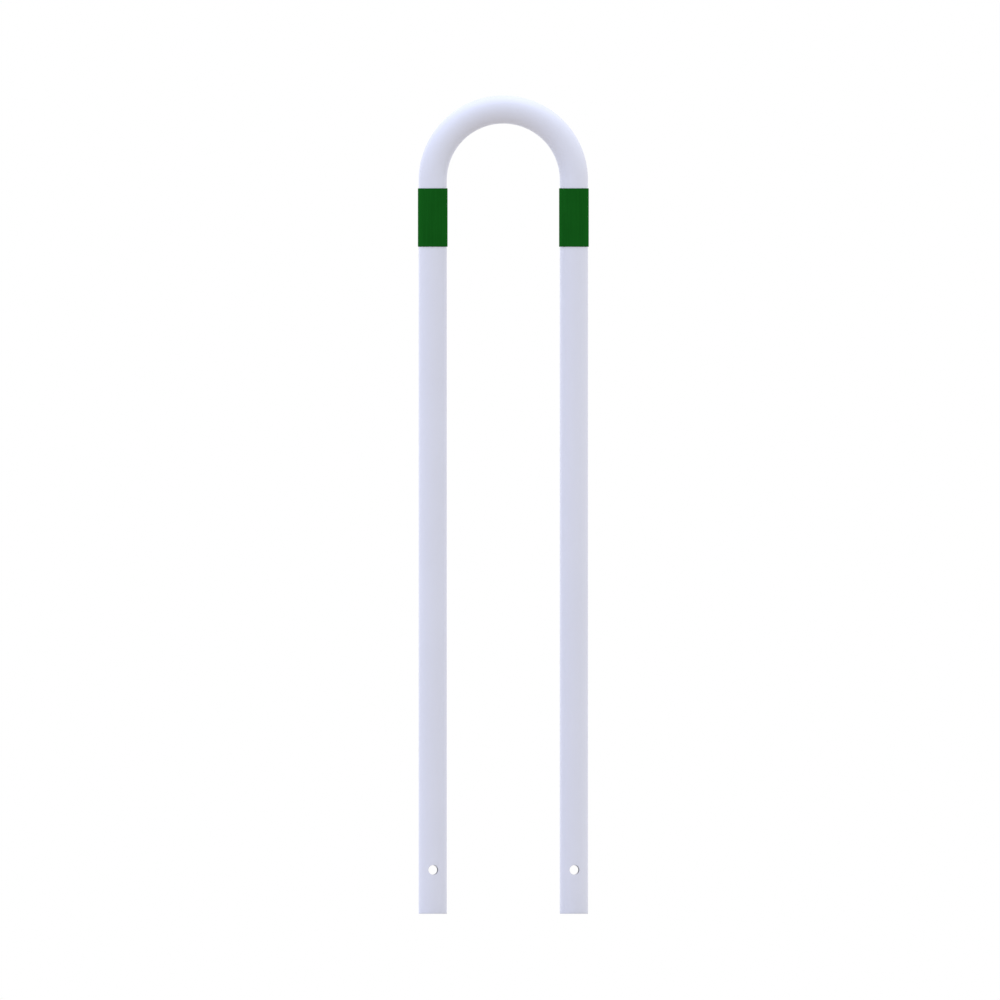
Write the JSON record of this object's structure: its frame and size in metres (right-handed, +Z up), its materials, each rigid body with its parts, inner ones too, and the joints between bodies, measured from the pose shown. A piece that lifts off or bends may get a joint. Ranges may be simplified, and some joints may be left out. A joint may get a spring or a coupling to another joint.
{
  "type": "guard hoop",
  "caption": "Tall U-shaped guard hoop of bent round steel tube with a dark green marker sleeve on each leg and cross-drilled feet, planted in the ground to shield a charging point.",
  "frame": {"origin": "on the plane of the two leg ends, midway between the legs", "axes": "+Z up the legs to the bend, X across the hoop from leg to leg, Y through the hoop from front to back"},
  "size_m": [0.2926, 0.0508, 1.3998],
  "materials": {
    "powder_coat": "smooth satin powder coat, cool white",
    "marker_green": "matt, dark green"
  },
  "bodies": {
    "root": {"hoop_tube": "powder_coat", "left_marker_sleeve": "marker_green", "right_marker_sleeve": "marker_green"}
  },
  "joints": []
}
